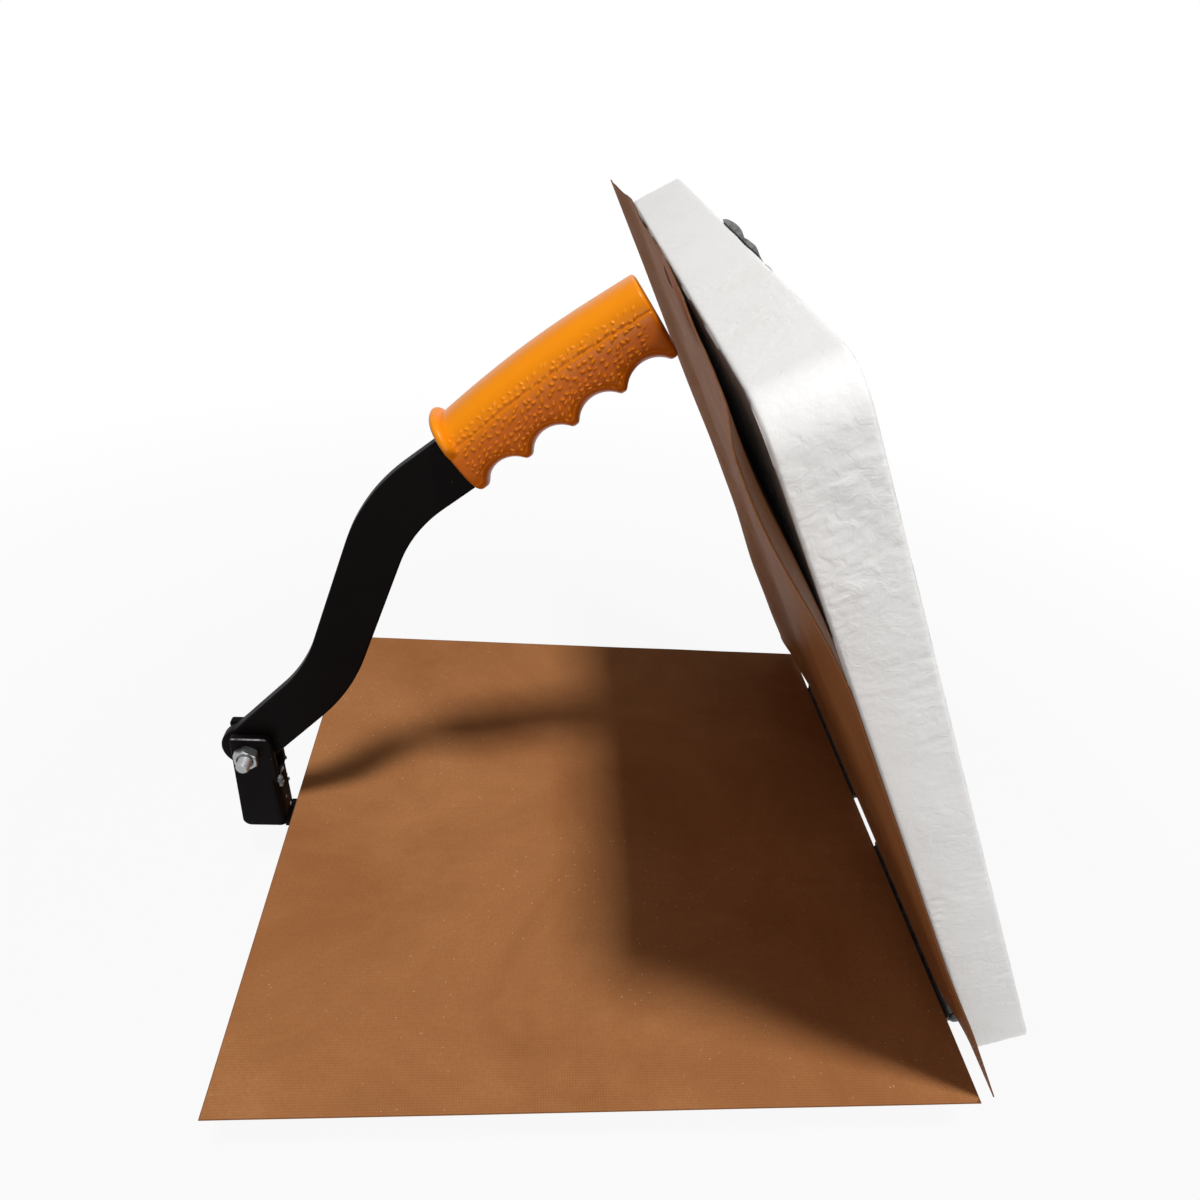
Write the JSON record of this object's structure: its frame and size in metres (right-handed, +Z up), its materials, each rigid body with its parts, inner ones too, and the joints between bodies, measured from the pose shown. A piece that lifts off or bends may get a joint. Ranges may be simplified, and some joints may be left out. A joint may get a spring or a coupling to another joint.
{
  "type": "roti press",
  "caption": "Hand-lever roti press: hinged boards faced with non-stick sheets and a bent lever with a finger-grooved grip.",
  "frame": {"origin": "table level, under the middle of the overall footprint", "axes": "+X from the lever bracket to the hinges, +Y across the press to the far side, +Z up"},
  "size_m": [0.3448, 0.3, 0.3078],
  "materials": {
    "white_board": "white paint with a fine wrinkle over board",
    "nonstick_sheet": "brown non-stick coated glass cloth, satin",
    "foot_rubber": "moulded matt",
    "zinc_steel": "bright zinc plate",
    "black_steel": "black gloss paint over hot rolled bar",
    "hinge_steel": "black oxide, worn",
    "strike_steel": "dark grey, worn",
    "tack_metal": "dark lacquer",
    "orange_grip": "soft moulded vinyl, pebbled sides"
  },
  "bodies": {
    "base": {"base_board": "white_board", "lower_sheet": "nonstick_sheet", "rubber_feet": "foot_rubber", "foot_screws": "zinc_steel", "lever_bracket": "black_steel", "bracket_screws": "zinc_steel", "pivot_bolt": "zinc_steel", "pivot_nut": "zinc_steel", "pivot_washers": "zinc_steel", "near_base_leaf": "hinge_steel", "far_base_leaf": "hinge_steel", "base_leaf_screws": "hinge_steel"},
    "hinge_pins": {"near_hinge_pin": "hinge_steel", "far_hinge_pin": "hinge_steel"},
    "lid": {"near_lid_leaf": "hinge_steel", "far_lid_leaf": "hinge_steel", "lid_leaf_screws": "hinge_steel", "lid_board": "white_board", "upper_sheet": "nonstick_sheet", "sheet_tack": "tack_metal", "strike_plate": "strike_steel", "strike_screws": "zinc_steel"},
    "lever": {"lever_bar": "black_steel", "pivot_bush": "zinc_steel", "grip": "orange_grip"}
  },
  "joints": [
    {"name": "lid_close", "type": "hinge", "parent": "base", "child": "hinge_pins", "pos_m": [0.15404, 0, 0.0355], "axis": [0, 1, 0], "range_deg": [-59.7, 0]},
    {"name": "lid_open", "type": "hinge", "parent": "hinge_pins", "child": "lid", "pos_m": [0.15404, 0, 0.0355], "axis": [0, 1, 0], "range_deg": [0, 45]},
    {"name": "lever_pivot", "type": "hinge", "parent": "base", "child": "lever", "pos_m": [-0.16036, 0, 0.0797], "axis": [0, 1, 0], "range_deg": [-140.29, 0]}
  ],
  "couplings": [
    {"joint": "lever_pivot", "follows": "lid_close", "ratio": 2.35}
  ]
}
